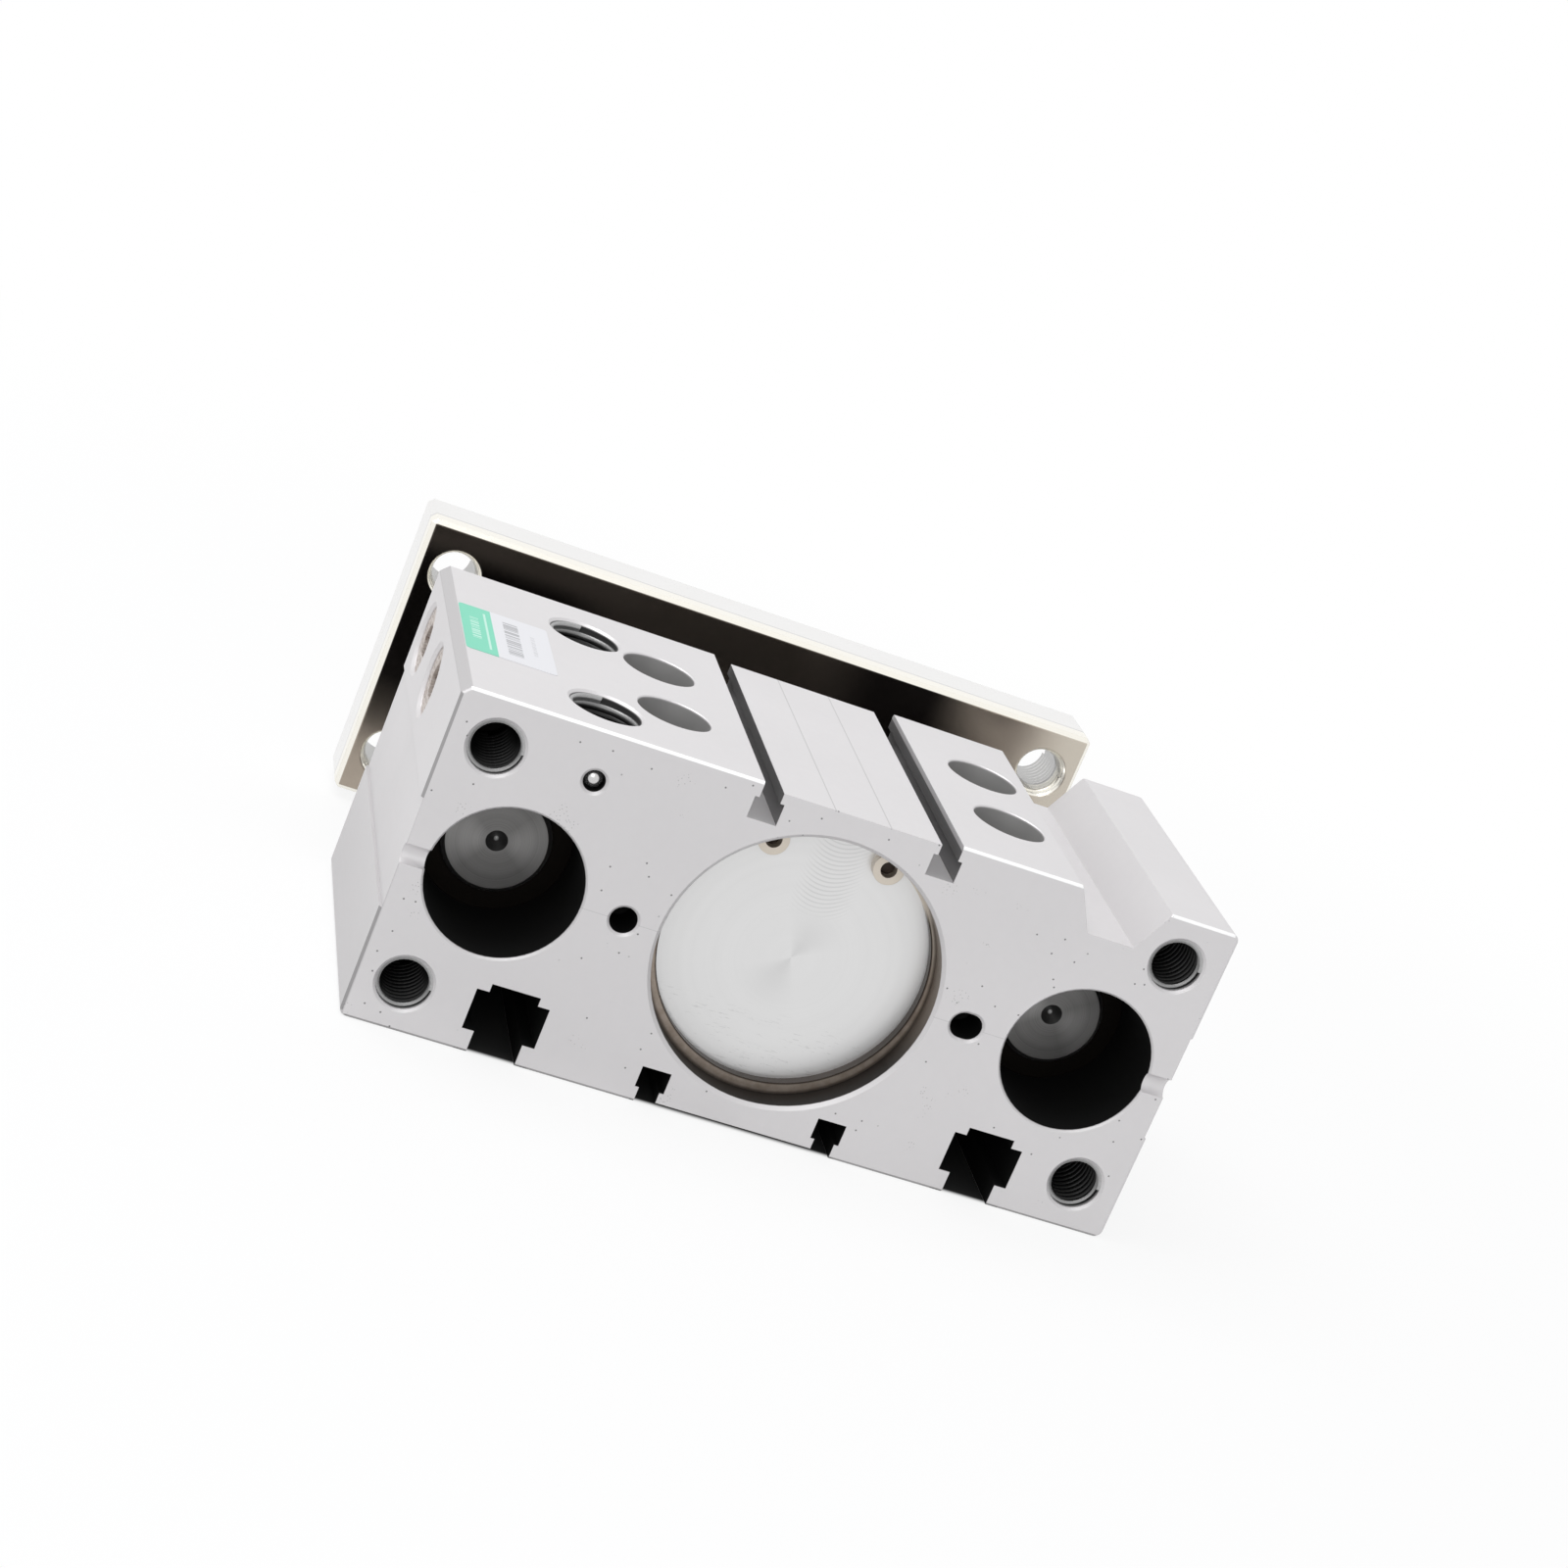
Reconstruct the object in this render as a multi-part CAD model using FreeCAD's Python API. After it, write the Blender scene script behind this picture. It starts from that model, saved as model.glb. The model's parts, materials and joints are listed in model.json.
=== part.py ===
"""Compact guided air cylinder: one aluminium body with a piston bore between two guide bores,
and a carriage of end plate, piston rod and two guide rods that slides out of its front.

X runs across the body, Y along the stroke from the rear face to the end plate, Z up to the ports.
The origin is on the piston bore's axis, in the plane of the rear face. Lengths are in mm.
The carriage stands fully out, one stroke from where the piston meets its rear stop.
"""
import FreeCAD, Part
import math
import os

V = FreeCAD.Vector

# ---------------------------------------------------------------- driving dimensions
# Stroke and bores
stroke = 25.0
bore_d = 50.0
guide_bore_d = 28.0
guide_pitch = 110.0
piston_rod_d = 20.0
guide_rod_d = 20.0

# Body outline
body_w = 148.0
body_h = 64.0
corner_r = 1.5
corner_chamfer = 1.5
edge_break = 0.4
side_recess_h = 21.2
side_recess_depth = 0.5
centre_drop = 0.9

# Clearances
seat_gap = 0.02
running_gap = 0.03
piston_gap = 0.2
stop_gap = 0.1
overcut = 2.0

# Rear end of the piston bore
mouth_step = 1.0
mouth_chamfer = 0.7
ring_depth = 5.7
ring_t = 2.0
ring_play = 0.1
ring_groove_depth = 1.5
cap_flange_t = 3.1
cap_spigot_len = 4.0
cap_nose_len = 3.0
nose_drop = 3.0

# Retaining rings, as shares that a larger or smaller ring of this pattern keeps
ring_section = 0.065
ring_offset = 0.033
ear_size = 0.105
ear_hole = 0.055
ear_place = 0.87
ear_angle = 27.0
rear_ring_turn = 3.0
ring_gap_angle = 20.0

# Piston and its rings, from the rear land to the front land
end_land = 1.2
mid_land = 0.8
wear_ring_w = 2.5
wear_ring_t = 1.7
magnet_w = 2.5
magnet_t = 2.8
magnet_sink = 0.5
seal_w = 3.0
seal_t = 3.8
seal_lip_h = 0.95
side_play = 0.05

# Stops
bumper_r = 19.0
bumper_bore_r = 14.0
bumper_seat = 1.0
bumper_out = 1.0

# Rod cover, its bush and seal
cover_nose_len = 2.2
cover_flange_t = 5.8
front_lip = 2.0
rod_bush_t = 2.0
rod_bush_len = 4.5
rod_seal_t = 3.0

# O-rings
oring_d = 2.0
oring_groove_w = 2.4
cap_oring_land = 0.8
cover_oring_land = 1.4

# Guide bushes, wipers and rings
bush_len = 16.0
rear_bush_depth = 22.0
wiper_len = 4.0
guide_ring_t = 1.2
guide_ring_groove = 0.7
guide_ring_lip = 1.3
guide_mouth_chamfer = 0.4

# Rods
rod_chamfer = 0.8
centre_mark_r = 2.0
centre_mark_depth = 1.8
guide_rod_overhang = 5.0
spigot_d = 14.0
spigot_len = 5.0

# End plate
plate_w = 146.0
plate_h = 60.0
plate_t = 16.0
plate_chamfer = 1.0
plate_gap = 12.0
rod_seat_depth = 1.5
plate_hole_edge_x = 8.0
plate_hole_edge_z = 10.0

# Screws: thread, head and socket
m10_r = 5.0
m8_r = 4.0
m8_head_r = 6.5
m8_head_h = 8.0
m8_socket = 6.0
m10_head_r = 8.0
m10_head_h = 10.0
m10_socket = 8.0
low_head_r = 6.5
low_head_h = 3.8
low_socket = 5.0
head_gap = 0.5
head_sink = 0.6
shank_gap = 0.4
screw_grip = 12.0
thread_spare = 4.0
socket_share = 0.55
hexagon_sides = 6

# Rear face holes
rear_hole_edge = 9.0
rear_hole_depth = 22.0
tap_sink = 0.5
pin_pitch = 66.0
pin_r = 2.5
pin_slot_shift = 0.5
pin_depth = 9.0
pin_sink = 0.5
vent_half_w = 1.9
vent_depth = 1.6

# Holes through the body from top to bottom
bolt_pitch_x = 66.0
bolt_pitch_y = 24.0
bolt_clear_r = 4.3
counterbore_r = 7.0
counterbore_depth = 9.0
counterbore_sink = 0.2
bottom_tap_depth = 18.0

# Air ports and the passages between them
port_r = 6.6
port_depth = 11.5
port_sink = 0.6
top_port_edge = 27.0
rear_port_y = 13.0
front_port_y = 53.0
side_port_drop = 12.0
side_port_depth = 11.0
rear_side_port_y = 35.0
front_side_port_y = 58.0
plug_len = 9.0
plug_sink = 0.8
plug_socket = 6.0
passage_r = 2.0
link_drop = 9.4
ball_depth = 3.0
bore_entry_angle = 148.0
rear_entry_y = 17.0
drill_angle = 59.0

# T-slots in the bottom
slot_pitch = 92.0
slot_throat_w = 9.0
slot_throat_h = 4.2
slot_wide_w = 13.5
slot_wide_h = 7.9
slot_pocket_h = 1.6

# Sensor grooves in top and bottom
groove_pitch = 34.0
groove_throat_w = 3.9
groove_throat_h = 2.9
groove_wide_w = 5.5
groove_wide_h = 4.1

# Dovetail channel along the top
channel_edge = 22.7
channel_top_w = 18.0
channel_floor_w = 9.2
channel_depth = 8.2

# ---------------------------------------------------------------- derived places
bore_r = bore_d / 2
mouth_r = bore_r + mouth_step
ring_groove_r = mouth_r + ring_groove_depth
guide_bore_r = guide_bore_d / 2
guide_ring_r = guide_bore_r + guide_ring_groove
guide_x = guide_pitch / 2
rod_r = piston_rod_d / 2
guide_r = guide_rod_d / 2
spigot_r = spigot_d / 2
top_z = body_h / 2
side_x = body_w / 2
rear_hole_x = side_x - rear_hole_edge
rear_hole_z = top_z - rear_hole_edge
plate_hole_x = plate_w / 2 - plate_hole_edge_x
plate_hole_z = plate_h / 2 - plate_hole_edge_z
top_port_x = top_port_edge - side_x
side_port_z = top_z - side_port_drop
link_z = top_z - link_drop
channel_x = side_x - channel_edge

cap_y0 = ring_depth + ring_t
cap_flange_y1 = cap_y0 + cap_flange_t
cap_spigot_y1 = cap_flange_y1 + cap_spigot_len
chamber_y0 = cap_spigot_y1 + cap_nose_len
piston_len = 2 * end_land + 2 * mid_land + wear_ring_w + magnet_w + seal_w
chamber_y1 = chamber_y0 + stroke + piston_len + 2 * (bumper_out + stop_gap)
cover_flange_y0 = chamber_y1 + cover_nose_len
cover_y1 = cover_flange_y0 + cover_flange_t
front_ring_y0 = cover_y1
body_l = front_ring_y0 + ring_t + front_lip

piston_y1 = chamber_y1 - bumper_out - stop_gap
piston_y0 = piston_y1 - piston_len
rod_bush_y1 = chamber_y1 + rod_bush_len
plate_y0 = body_l + plate_gap + stroke
plate_y1 = plate_y0 + plate_t
rod_seat_y = plate_y0 + rod_seat_depth
guide_rod_y0 = stroke - guide_rod_overhang
guide_ring_y0 = body_l - guide_ring_lip - guide_ring_t
wiper_y0 = guide_ring_y0 - wiper_len
front_bush_y1 = wiper_y0


# ---------------------------------------------------------------- form helpers
def box(x0, x1, y0, y1, z0, z1):
    return Part.makeBox(x1 - x0, y1 - y0, z1 - z0, V(x0, y0, z0))


def turned(profile, x=0.0, z=0.0):
    """Revolve (radius, y) points about the Y-parallel axis through x and z."""
    points = [V(x + radius, y, z) for radius, y in profile]
    face = Part.Face(Part.makePolygon(points + points[:1]))
    return face.revolve(V(x, 0, z), V(0, 1, 0), 360)


def tube(outer, inner, y0, y1, x=0.0, z=0.0):
    return turned([(inner, y0), (outer, y0), (outer, y1), (inner, y1)], x, z)


def disc(radius, y0, y1, x=0.0, z=0.0):
    return Part.makeCylinder(radius, y1 - y0, V(x, y0, z), V(0, 1, 0))


def along_y(outline, y0, y1):
    """Extrude an (x, z) outline along the stroke."""
    points = [V(x, y0, z) for x, z in outline]
    return Part.Face(Part.makePolygon(points + points[:1])).extrude(V(0, y1 - y0, 0))


def drilled(mouth, into, radius, depth, sink=0.0):
    """Cutter for a blind hole: countersunk mouth, straight wall and the drill's cone."""
    tip = radius / math.tan(math.radians(drill_angle))
    profile = [(0, -overcut), (radius + sink, -overcut), (radius + sink, 0), (radius, sink),
               (radius, depth), (0, depth + tip)]
    points = [V(r, 0, t) for r, t in profile]
    cutter = Part.Face(Part.makePolygon(points + points[:1])).revolve(V(0, 0, 0), V(0, 0, 1), 360)
    cutter.Placement = FreeCAD.Placement(mouth, FreeCAD.Rotation(V(0, 0, 1), into))
    return cutter


def through(mouth, into, radius, length):
    """Cutter for a plain hole that runs past both of its ends."""
    start = mouth - into * overcut
    return Part.makeCylinder(radius, length + 2 * overcut, start, into)


def hexagon(across_flats):
    """Corners of a hexagon round the origin, two of them on the first axis."""
    step = 2 * math.pi / hexagon_sides
    corner = across_flats / 2 / math.cos(step / 2)
    return [(corner * math.cos(i * step), corner * math.sin(i * step)) for i in range(hexagon_sides)]


def oring(groove_floor_r, y):
    """O-ring pressed between its groove's floor and the wall outside it."""
    section_r = oring_d / 2 - seat_gap
    return Part.makeTorus(groove_floor_r + oring_d / 2, section_r, V(0, y, 0), V(0, 1, 0))


def retaining_ring(wall_r, groove_r, y0, thickness, x=0.0):
    """Internal retaining ring, tapering to two ears with plier holes either side of its gap."""
    outer_r = groove_r - seat_gap
    inner_r = wall_r * (1 - ring_section + ring_offset / 2)
    y1 = y0 + thickness
    ring = disc(outer_r, y0, y1, x)
    ring = ring.cut(disc(inner_r, y0 - overcut, y1 + overcut, x, wall_r * ring_offset))
    reach = 2 * groove_r
    gap_x = reach * math.tan(math.radians(ring_gap_angle))
    ring = ring.cut(along_y([(x, 0), (x + gap_x, reach), (x - gap_x, reach)], y0 - overcut, y1 + overcut))
    for side in (-1, 1):
        turn = math.radians(90 + side * ear_angle)
        ear_x = x + ear_place * groove_r * math.cos(turn)
        ear_z = ear_place * groove_r * math.sin(turn)
        ear = disc(ear_size * groove_r, y0, y1, ear_x, ear_z).common(disc(outer_r, y0, y1, x))
        ring = ring.fuse(ear)
        ring = ring.cut(disc(ear_hole * groove_r, y0 - overcut, y1 + overcut, ear_x, ear_z))
    return ring.removeSplitter()


def cap_screw(seat_y, thread_r, head_r, head_h, socket, reach, x=0.0, toward=1):
    """Socket screw whose head stands on seat_y and whose shank runs the other way."""
    shank_r = thread_r - seat_gap
    head_y = seat_y + toward * head_h
    screw = disc(head_r, min(seat_y, head_y), max(seat_y, head_y), x)
    shank_y = seat_y - toward * reach
    screw = screw.fuse(disc(shank_r, min(seat_y, shank_y), max(seat_y, shank_y), x))
    floor_y = head_y - toward * socket_share * head_h
    past_y = head_y + toward * overcut
    corners = [(x + across, up) for across, up in hexagon(socket)]
    return screw.cut(along_y(corners, min(floor_y, past_y), max(floor_y, past_y)))


# ---------------------------------------------------------------- body block
def long_edges(blank, bevelled):
    """Edges as long as the body: the one on its upper left corner, or all the others."""
    chosen = []
    for edge in blank.Edges:
        middle = edge.CenterOfMass
        at_bevel = middle.x < edge_break - side_x and middle.z > top_z - edge_break
        if abs(edge.BoundBox.YLength - body_l) < seat_gap and at_bevel == bevelled:
            chosen.append(edge)
    return chosen


def block_blank():
    """Extrusion outline: one bevelled long edge, three rounded ones, broken ends."""
    blank = box(-side_x, side_x, 0, body_l, -top_z, top_z)
    blank = blank.makeFillet(corner_r, long_edges(blank, False))
    blank = blank.makeChamfer(corner_chamfer, long_edges(blank, True))
    ends = [edge for edge in blank.Edges if edge.BoundBox.YLength < seat_gap]
    return blank.makeChamfer(edge_break, ends)


def profile_cuts():
    """Everything that runs the whole length of the extrusion."""
    y0 = -overcut
    y1 = body_l + overcut
    groove_x = groove_pitch / 2
    cuts = []
    for up in (-1, 1):
        skin_z = up * (top_z - centre_drop)
        past_z = up * (top_z + overcut)
        cuts.append(box(-groove_x, groove_x, y0, y1, min(skin_z, past_z), max(skin_z, past_z)))
        for side in (-1, 1):
            cuts += sensor_groove(side * groove_x, up, y0, y1)
    for side in (-1, 1):
        cuts += t_slot(side * slot_pitch / 2, y0, y1)
        wall_x = side * (side_x - side_recess_depth)
        past_x = side * (side_x + overcut)
        half_h = side_recess_h / 2
        cuts.append(box(min(wall_x, past_x), max(wall_x, past_x), y0, y1, -half_h, half_h))
    cuts.append(channel(y0, y1))
    return cuts


def sensor_groove(x, up, y0, y1):
    throat_z = up * (top_z - groove_throat_h)
    floor_z = throat_z - up * groove_wide_h
    past_z = up * (top_z + overcut)
    half_throat = groove_throat_w / 2
    half_wide = groove_wide_w / 2
    throat = box(x - half_throat, x + half_throat, y0, y1, min(floor_z, past_z), max(floor_z, past_z))
    wide = box(x - half_wide, x + half_wide, y0, y1, min(floor_z, throat_z), max(floor_z, throat_z))
    return [throat, wide]


def t_slot(x, y0, y1):
    lip_z = -top_z + slot_throat_h
    roof_z = lip_z + slot_wide_h
    half_throat = slot_throat_w / 2
    half_wide = slot_wide_w / 2
    throat = box(x - half_throat, x + half_throat, y0, y1, -top_z - overcut, roof_z + slot_pocket_h)
    return [throat, box(x - half_wide, x + half_wide, y0, y1, lip_z, roof_z)]


def channel(y0, y1):
    slope = (channel_top_w - channel_floor_w) / 2 / channel_depth
    half_floor = channel_floor_w / 2
    half_top = half_floor + slope * (channel_depth + overcut)
    floor_z = top_z - channel_depth
    outline = [(channel_x - half_floor, floor_z), (channel_x + half_floor, floor_z),
               (channel_x + half_top, top_z + overcut), (channel_x - half_top, top_z + overcut)]
    return along_y(outline, y0, y1)


def piston_bore_cuts():
    """Bore with a wider, bevelled mouth at each end and a groove for each retaining ring."""
    wide_r = mouth_r + mouth_chamfer
    bore = turned([(0, -overcut), (wide_r, -overcut), (wide_r, 0), (mouth_r, mouth_chamfer),
                   (mouth_r, cap_flange_y1), (bore_r, cap_flange_y1), (bore_r, cover_flange_y0),
                   (mouth_r, cover_flange_y0), (mouth_r, body_l - mouth_chamfer), (wide_r, body_l),
                   (wide_r, body_l + overcut), (0, body_l + overcut)])
    rear_groove = disc(ring_groove_r, ring_depth - ring_play, ring_depth + ring_t)
    front_groove = disc(ring_groove_r, front_ring_y0, front_ring_y0 + ring_t + ring_play)
    return [bore, rear_groove, front_groove]


def guide_bore_cuts(x):
    wide_r = guide_bore_r + guide_mouth_chamfer
    bore = turned([(0, -overcut), (wide_r, -overcut), (wide_r, 0), (guide_bore_r, guide_mouth_chamfer),
                   (guide_bore_r, body_l - guide_mouth_chamfer), (wide_r, body_l),
                   (wide_r, body_l + overcut), (0, body_l + overcut)], x)
    groove = disc(guide_ring_r, guide_ring_y0, guide_ring_y0 + guide_ring_t + ring_play, x)
    return [bore, groove]


def vent_cut(side):
    """Shallow round-bottomed vent in the rear face, from a guide bore to the body's side."""
    radius = (vent_half_w ** 2 + vent_depth ** 2) / (2 * vent_depth)
    start = V(side * guide_x, vent_depth - radius, 0)
    return Part.makeCylinder(radius, side_x - guide_x + overcut, start, V(side, 0, 0))


def rear_face_cuts():
    into = V(0, 1, 0)
    cuts = []
    for x in (-rear_hole_x, rear_hole_x):
        for z in (-rear_hole_z, rear_hole_z):
            cuts.append(drilled(V(x, 0, z), into, m10_r, rear_hole_depth, tap_sink))
    pin_x = pin_pitch / 2
    cuts.append(drilled(V(-pin_x, 0, 0), into, pin_r, pin_depth, pin_sink))
    for shift in (-pin_slot_shift, pin_slot_shift):
        cuts.append(drilled(V(pin_x + shift, 0, 0), into, pin_r, pin_depth, pin_sink))
    cuts.append(box(pin_x - pin_slot_shift, pin_x + pin_slot_shift, -overcut, pin_depth, -pin_r, pin_r))
    return cuts


def bolt_hole_cuts():
    down = V(0, 0, -1)
    mid_y = body_l / 2
    cuts = []
    for x in (-bolt_pitch_x / 2, bolt_pitch_x / 2):
        for y in (mid_y - bolt_pitch_y / 2, mid_y + bolt_pitch_y / 2):
            cuts.append(through(V(x, y, top_z), down, bolt_clear_r, body_h))
            rim = top_z - counterbore_sink
            cuts.append(through(V(x, y, top_z + overcut), down, counterbore_r, counterbore_depth))
            sink_r = counterbore_r + counterbore_sink
            cuts.append(Part.makeCone(counterbore_r, sink_r, counterbore_sink, V(x, y, rim)))
            cuts.append(through(V(x, y, -top_z - overcut), V(0, 0, 1), m10_r, bottom_tap_depth))
    return cuts


def air_cuts():
    """Ports, the cross holes that join them and the slanting holes into the piston bore."""
    cuts = []
    turn = math.radians(bore_entry_angle)
    entry_r = bore_r - passage_r
    for port_y, entry_y in ((rear_port_y, rear_entry_y), (front_port_y, chamber_y1)):
        cuts.append(drilled(V(top_port_x, port_y, top_z), V(0, 0, -1), port_r, port_depth, port_sink))
        start = V(top_port_x, port_y, top_z - port_depth)
        finish = V(entry_r * math.cos(turn), entry_y, entry_r * math.sin(turn))
        run = finish - start
        cuts.append(Part.makeCylinder(passage_r, run.Length, start, run))
    for port_y in (rear_side_port_y, front_side_port_y):
        mouth = V(-side_x, port_y, side_port_z)
        cuts.append(drilled(mouth, V(1, 0, 0), port_r, side_port_depth, port_sink))
        cuts.append(drilled(mouth, V(1, 0, 0), passage_r, side_x + top_port_x))
    link = drilled(V(top_port_x, 0, link_z), V(0, 1, 0), passage_r, rear_side_port_y, pin_sink)
    return cuts + [link]


def body_block():
    block = block_blank().cut(profile_cuts())
    cuts = piston_bore_cuts() + rear_face_cuts() + bolt_hole_cuts() + air_cuts()
    for side in (-1, 1):
        cuts += guide_bore_cuts(side * guide_x)
        cuts.append(vent_cut(side))
    return block.cut(cuts)


# ---------------------------------------------------------------- pieces in the body
def rear_cap():
    """Turned cap: flange in the mouth, grooved spigot in the bore, coned nose, stop seat."""
    flange_r = mouth_r - seat_gap
    spigot_wall = bore_r - seat_gap
    groove_y0 = cap_flange_y1 + cap_oring_land
    groove_y1 = groove_y0 + oring_groove_w
    floor_r = bore_r - oring_d
    cap = turned([(0, cap_y0), (flange_r, cap_y0), (flange_r, cap_flange_y1),
                  (spigot_wall, cap_flange_y1), (spigot_wall, groove_y0), (floor_r, groove_y0),
                  (floor_r, groove_y1), (spigot_wall, groove_y1), (spigot_wall, cap_spigot_y1),
                  (bore_r - nose_drop, chamber_y0), (0, chamber_y0)])
    seat_r = bumper_r + seat_gap
    seat_bore_r = bumper_bore_r - seat_gap
    return cap.cut(tube(seat_r, seat_bore_r, chamber_y0 - bumper_seat, chamber_y0 + overcut))


def rear_cap_oring():
    return oring(bore_r - oring_d, cap_flange_y1 + cap_oring_land + oring_groove_w / 2)


def rear_retaining_ring():
    ring = retaining_ring(mouth_r, ring_groove_r, ring_depth, ring_t)
    return ring.rotate(V(0, 0, 0), V(0, 1, 0), -rear_ring_turn)


def rear_bumper():
    return tube(bumper_r, bumper_bore_r, chamber_y0 - bumper_seat, chamber_y0 + bumper_out)


def rod_cover():
    """Cover that closes the front of the bore, stepped inside for the rod's bush and seal."""
    flange_r = mouth_r - seat_gap
    nose_r = bore_r - seat_gap
    bush_wall = rod_r + running_gap + rod_bush_t + seat_gap
    seal_wall = rod_r + running_gap + rod_seal_t + seat_gap
    groove_y0 = cover_flange_y0 + cover_oring_land
    groove_y1 = groove_y0 + oring_groove_w
    floor_r = mouth_r - oring_d
    cover = turned([(bush_wall, chamber_y1), (bore_r - nose_drop, chamber_y1),
                    (nose_r, cover_flange_y0), (flange_r, cover_flange_y0), (flange_r, groove_y0),
                    (floor_r, groove_y0), (floor_r, groove_y1), (flange_r, groove_y1),
                    (flange_r, cover_y1), (seal_wall, cover_y1), (seal_wall, rod_bush_y1),
                    (bush_wall, rod_bush_y1)])
    seat_r = bumper_r + seat_gap
    seat_bore_r = bumper_bore_r - seat_gap
    return cover.cut(tube(seat_r, seat_bore_r, chamber_y1 - overcut, chamber_y1 + bumper_seat))


def rod_cover_oring():
    return oring(mouth_r - oring_d, cover_flange_y0 + cover_oring_land + oring_groove_w / 2)


def rod_bush():
    inner = rod_r + running_gap
    return tube(inner + rod_bush_t, inner, chamber_y1, rod_bush_y1)


def rod_seal():
    inner = rod_r + running_gap
    return tube(inner + rod_seal_t, inner, rod_bush_y1, cover_y1)


def front_retaining_ring():
    return retaining_ring(mouth_r, ring_groove_r, front_ring_y0, ring_t)


def front_bumper():
    return tube(bumper_r, bumper_bore_r, chamber_y1 - bumper_out, chamber_y1 + bumper_seat)


def guide_bush(side, y0):
    return tube(guide_bore_r - seat_gap, guide_r + running_gap, y0, y0 + bush_len, side * guide_x)


def guide_wiper(side):
    """Dust wiper whose lip leans out along the rod."""
    outer = guide_bore_r - seat_gap
    inner = guide_r + running_gap
    lip_r = (outer + inner) / 2
    lip_y = wiper_y0 + wiper_len / 2
    return turned([(inner, wiper_y0), (outer, wiper_y0), (outer, guide_ring_y0),
                   (lip_r, guide_ring_y0), (lip_r, lip_y), (inner, guide_ring_y0)], side * guide_x)


def guide_retaining_ring(side):
    return retaining_ring(guide_bore_r, guide_ring_r, guide_ring_y0, guide_ring_t, side * guide_x)


def side_plug(y):
    """Taper plug screwed into a side port, a hexagon socket in its face."""
    face_x = -side_x + plug_sink
    plug = Part.makeCylinder(port_r - seat_gap, plug_len, V(face_x, y, side_port_z), V(1, 0, 0))
    points = [V(face_x - overcut, y + along, side_port_z + up) for along, up in hexagon(plug_socket)]
    depth = overcut + socket_share * plug_len
    return plug.cut(Part.Face(Part.makePolygon(points + points[:1])).extrude(V(depth, 0, 0)))


def ball_plug():
    return Part.makeSphere(passage_r - seat_gap, V(top_port_x, ball_depth, link_z))


# ---------------------------------------------------------------- carriage
def end_plate():
    plate = box(-plate_w / 2, plate_w / 2, plate_y0, plate_y1, -plate_h / 2, plate_h / 2)
    plate = plate.makeChamfer(plate_chamfer, plate.Edges)
    cuts = []
    for x in (-plate_hole_x, plate_hole_x):
        for z in (-plate_hole_z, plate_hole_z):
            cuts.append(tapped_through(x, z))
    cuts += rod_fixing(0.0, rod_r, m10_r, m10_head_r, m10_head_h)
    for side in (-1, 1):
        cuts += rod_fixing(side * guide_x, guide_r, m8_r, m8_head_r, m8_head_h)
    return plate.cut(cuts)


def tapped_through(x, z):
    """Tapped hole right through the plate, countersunk from both faces."""
    sunk_r = m10_r + tap_sink
    return turned([(0, plate_y0 - overcut), (sunk_r, plate_y0 - overcut), (sunk_r, plate_y0),
                   (m10_r, plate_y0 + tap_sink), (m10_r, plate_y1 - tap_sink), (sunk_r, plate_y1),
                   (sunk_r, plate_y1 + overcut), (0, plate_y1 + overcut)], x, z)


def rod_fixing(x, shaft_r, thread_r, head_r, head_h):
    """Seat for a rod's end, clearance for its screw and a counterbore for the head."""
    seat = disc(shaft_r + seat_gap, plate_y0 - overcut, rod_seat_y, x)
    shank = disc(thread_r + shank_gap, plate_y0, plate_y1, x)
    floor_y = plate_y1 - head_sink - head_h
    counterbore = disc(head_r + head_gap, floor_y, plate_y1 + overcut, x)
    return [seat, shank, counterbore]


def screw_reach(head_h):
    """Length of shank from under a head in the plate to its grip in the rod."""
    return plate_y1 - head_sink - head_h - rod_seat_y + screw_grip


def tapped_end(face_y, thread_r, x, toward):
    """Tapped hole in a rod's end; toward points into the rod."""
    return drilled(V(x, face_y, 0), V(0, toward, 0), thread_r, screw_grip + thread_spare)


def guide_rod(side):
    x = side * guide_x
    rod = turned([(0, guide_rod_y0 + centre_mark_depth), (centre_mark_r, guide_rod_y0),
                  (guide_r - rod_chamfer, guide_rod_y0), (guide_r, guide_rod_y0 + rod_chamfer),
                  (guide_r, rod_seat_y), (0, rod_seat_y)], x)
    return rod.cut(tapped_end(rod_seat_y, m8_r, x, -1))


def piston_rod():
    spigot_y0 = piston_y1 - spigot_len
    rod = turned([(0, spigot_y0), (spigot_r, spigot_y0), (spigot_r, piston_y1), (rod_r, piston_y1),
                  (rod_r, rod_seat_y), (0, rod_seat_y)])
    return rod.cut([tapped_end(rod_seat_y, m10_r, 0, -1), tapped_end(spigot_y0, m8_r, 0, 1)])


def groove_spans():
    """Start of each of the piston's three grooves, counted from its rear face."""
    wear_y = piston_y0 + end_land
    magnet_y = wear_y + wear_ring_w + mid_land
    seal_y = magnet_y + magnet_w + mid_land
    return wear_y, magnet_y, seal_y


def piston():
    wear_y, magnet_y, seal_y = groove_spans()
    blank = disc(bore_r - piston_gap, piston_y0, piston_y1)
    cuts = [tube(bore_r, bore_r - wear_ring_t, wear_y, wear_y + wear_ring_w),
            tube(bore_r, bore_r - magnet_sink - magnet_t, magnet_y, magnet_y + magnet_w),
            tube(bore_r, bore_r - seal_t, seal_y, seal_y + seal_w),
            disc(spigot_r + seat_gap, piston_y1 - spigot_len, piston_y1 + overcut),
            disc(m8_r + shank_gap, piston_y0, piston_y1),
            disc(low_head_r + head_gap, piston_y0 - overcut, piston_y0 + low_head_h)]
    return blank.cut(cuts)


def ring_in_groove(outer, floor_r, y0, width):
    return tube(outer, floor_r + seat_gap, y0 + side_play, y0 + width - side_play)


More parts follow.
